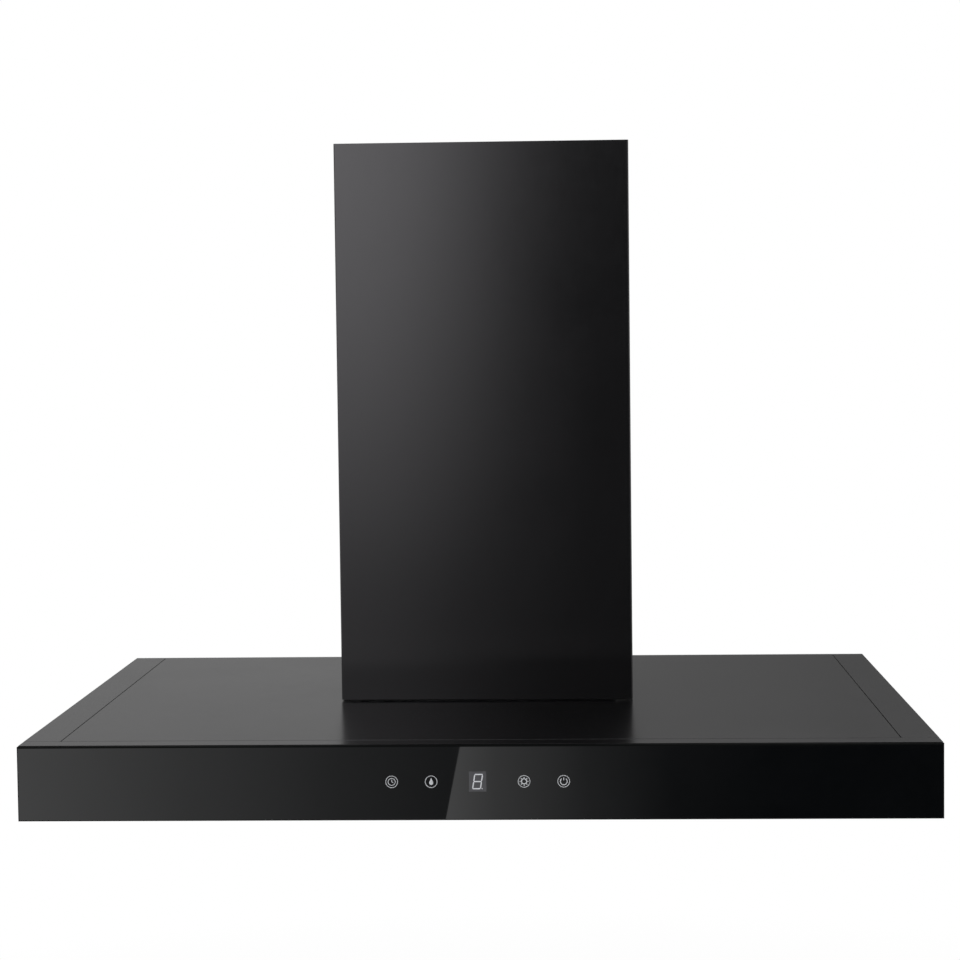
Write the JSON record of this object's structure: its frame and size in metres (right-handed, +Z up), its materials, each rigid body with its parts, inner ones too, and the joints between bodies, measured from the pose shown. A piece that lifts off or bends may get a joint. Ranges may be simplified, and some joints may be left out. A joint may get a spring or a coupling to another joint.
{
  "type": "chimney range hood",
  "caption": "Wall-mounted T-shaped chimney range hood: shallow box canopy with a full-width black glass front, touch control, telescopic chimney, baffle filters and centrifugal blower.",
  "frame": {"origin": "middle of the back face of the canopy, on the wall", "axes": "+X to the right seen from the front, +Y into the wall, +Z up"},
  "size_m": [0.898, 0.5, 0.6782],
  "materials": {
    "front_glass": "black-backed toughened glass, polished, sharp arrised edges",
    "black_steel": "fine brushed steel under satin black coating",
    "galvanised_steel": "galvanised sheet, dull spangle",
    "stainless_steel": "brushed stainless",
    "spring_steel": "drawn wire and bright rod",
    "cast_aluminium": "turned and bead blasted",
    "opal_lens": "opal diffuser",
    "white_plastic": "moulded, fine texture",
    "black_plastic": "moulded, fine texture",
    "circuit_board": "green solder mask",
    "display_plastic": "smoked display face",
    "motor_enamel": "black enamel"
  },
  "bodies": {
    "hood": {"front_glass": "front_glass", "front_rail": "black_steel", "right_end_panel": "black_steel", "left_end_panel": "black_steel", "top_panel": "black_steel", "back_panel": "galvanised_steel", "underside_pan": "black_steel", "right_lamp_bezel": "stainless_steel", "left_lamp_bezel": "stainless_steel", "right_lamp_lens": "opal_lens", "left_lamp_lens": "opal_lens", "right_lamp_body": "cast_aluminium", "left_lamp_body": "cast_aluminium", "led_driver": "white_plastic", "touch_carrier": "black_plastic", "touch_board": "circuit_board", "display_module": "display_plastic", "touch_pad_timer": "spring_steel", "touch_pad_drop": "spring_steel", "touch_pad_lamp": "spring_steel", "touch_pad_power": "spring_steel", "lower_chimney_cover": "black_steel", "right_cover_stay": "galvanised_steel", "left_cover_stay": "galvanised_steel", "right_cover_screw": "black_steel", "left_cover_screw": "black_steel", "blower_chassis": "galvanised_steel", "chassis_back_plate": "galvanised_steel", "volute_wrap": "galvanised_steel", "volute_right_side": "galvanised_steel", "volute_left_side": "galvanised_steel", "motor": "motor_enamel", "motor_bracket": "galvanised_steel", "capacitor": "white_plastic", "terminal_box": "black_plastic", "terminal_box_lid": "black_plastic", "cable_gland": "black_plastic", "control_box": "white_plastic", "control_box_lid": "white_plastic", "outlet_collar": "black_plastic", "damper_axle": "spring_steel"},
    "upper_cover": {"upper_chimney_cover": "black_steel", "upper_wall_strip": "galvanised_steel"},
    "right_filter": {"right_filter_frame": "stainless_steel", "right_filter_baffles": "stainless_steel", "right_filter_cup": "stainless_steel", "right_latch_spring": "spring_steel"},
    "left_filter": {"left_filter_frame": "stainless_steel", "left_filter_baffles": "stainless_steel", "left_filter_cup": "stainless_steel", "left_latch_spring": "spring_steel"},
    "right_latch": {"right_latch_slide": "stainless_steel"},
    "left_latch": {"left_latch_slide": "stainless_steel"},
    "rotor": {"impeller_disc": "galvanised_steel", "impeller_right_cage": "galvanised_steel", "impeller_left_cage": "galvanised_steel", "motor_shaft": "spring_steel"},
    "rear_flap": {"damper_flap_rear": "black_plastic"},
    "front_flap": {"damper_flap_front": "black_plastic"}
  },
  "joints": [
    {"name": "upper_cover_slide", "type": "slide", "parent": "hood", "child": "upper_cover", "axis": [0, 0, 1], "range_m": [0, 0.4]},
    {"name": "right_filter_swing", "type": "hinge", "parent": "hood", "child": "right_filter", "pos_m": [0.20185, -0.06323, -0.0315], "axis": [1, 0, 0], "range_deg": [0, 75]},
    {"name": "right_latch_slide_back", "type": "slide", "parent": "right_filter", "child": "right_latch", "axis": [0, 1, 0], "range_m": [0, 0.008], "stiffness_N_per_m": 400, "springref_m": -0.004, "deforming": ["right_latch_spring"]},
    {"name": "left_filter_swing", "type": "hinge", "parent": "hood", "child": "left_filter", "pos_m": [-0.20185, -0.06323, -0.0315], "axis": [1, 0, 0], "range_deg": [0, 75]},
    {"name": "left_latch_slide_back", "type": "slide", "parent": "left_filter", "child": "left_latch", "axis": [0, 1, 0], "range_m": [0, 0.008], "stiffness_N_per_m": 400, "springref_m": -0.004, "deforming": ["left_latch_spring"]},
    {"name": "impeller_spin", "type": "hinge", "parent": "hood", "child": "rotor", "pos_m": [0, -0.105, 0.1625], "axis": [1, 0, 0], "continuous": true},
    {"name": "rear_flap_lift", "type": "hinge", "parent": "hood", "child": "rear_flap", "pos_m": [0, -0.162, 0.3816], "axis": [1, 0, 0], "range_deg": [0, 75]},
    {"name": "front_flap_lift", "type": "hinge", "parent": "hood", "child": "front_flap", "pos_m": [0, -0.162, 0.3816], "axis": [-1, 0, 0], "range_deg": [0, 75]}
  ]
}
